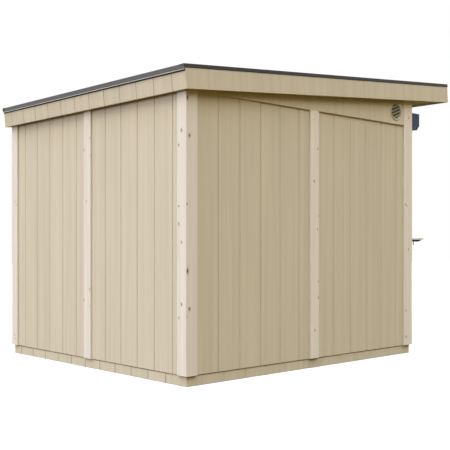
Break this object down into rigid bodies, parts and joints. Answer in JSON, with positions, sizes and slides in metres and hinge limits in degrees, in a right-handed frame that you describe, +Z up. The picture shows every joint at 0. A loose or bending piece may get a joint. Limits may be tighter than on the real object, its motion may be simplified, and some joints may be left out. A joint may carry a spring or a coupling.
{
  "type": "wooden kiosk",
  "caption": "Pent-roofed timber kiosk with boarded walls between pale posts, a roof overhang over a serving hatch with counter and rolled-up shutter, and a side door.",
  "frame": {"origin": "on the ground under the middle of the plinth, on the underside of the middle floor bearer", "axes": "+Z up; the serving hatch and the high side of the roof face -Y, the low back wall faces +Y, and -X is the closed side wall"},
  "size_m": [2.602, 3.2013, 2.4909],
  "materials": {
    "wall_boards": "planed tongue-and-groove spruce boards, pale green-beige from pressure treatment",
    "plinth_boards": "planed spruce boards, pressure treated",
    "fascia_boards": "planed spruce boards, pressure treated",
    "post_timber": "planed untreated spruce with small knots",
    "framing_timber": "sawn spruce",
    "floor_boards": "planed spruce floor boards",
    "roof_boards": "planed spruce roof boards",
    "soffit_boards": "planed spruce boards",
    "door_boards": "planed tongue-and-groove spruce boards",
    "roof_membrane": "matt black roof membrane",
    "edge_trim": "folded anthracite coated sheet",
    "shutter_paint": "blue-grey powder coat",
    "shutter_bar": "blue-grey coated aluminium bar",
    "vent_plastic": "moulded pale grey plastic",
    "counter_laminate": "white laminated board",
    "bracket_steel": "dark grey coated steel",
    "door_steel": "brushed stainless steel"
  },
  "bodies": {
    "root": {"floor_bearers": "framing_timber", "floor_deck": "floor_boards", "plinth_back": "plinth_boards", "plinth_front": "plinth_boards", "plinth_left": "plinth_boards", "plinth_right": "plinth_boards", "post_back_left": "post_timber", "post_back_right": "post_timber", "post_front_left": "post_timber", "post_front_right": "post_timber", "post_back_middle": "post_timber", "post_left_middle": "post_timber", "post_right_middle": "post_timber", "back_panel_left": "wall_boards", "back_panel_right": "wall_boards", "left_panel_back": "wall_boards", "left_panel_front": "wall_boards", "right_panel_back": "wall_boards", "door_frame": "post_timber", "door_leaf": "door_boards", "door_fittings": "door_steel", "front_parapet": "wall_boards", "front_header": "wall_boards", "eave_blocks": "framing_timber", "gable_left": "wall_boards", "gable_right": "wall_boards", "vent_left": "vent_plastic", "vent_right": "vent_plastic", "rafters": "framing_timber", "roof_deck": "roof_boards", "roof_covering": "roof_membrane", "front_soffit": "soffit_boards", "fascia_back": "fascia_boards", "fascia_front": "fascia_boards", "fascia_left": "fascia_boards", "fascia_right": "fascia_boards", "trim_back": "edge_trim", "trim_front": "edge_trim", "trim_left": "edge_trim", "trim_right": "edge_trim", "shutter_box": "shutter_paint", "shutter_rails": "shutter_paint", "shutter_bar": "shutter_bar", "counter_board": "counter_laminate", "counter_brackets": "bracket_steel"}
  },
  "joints": []
}
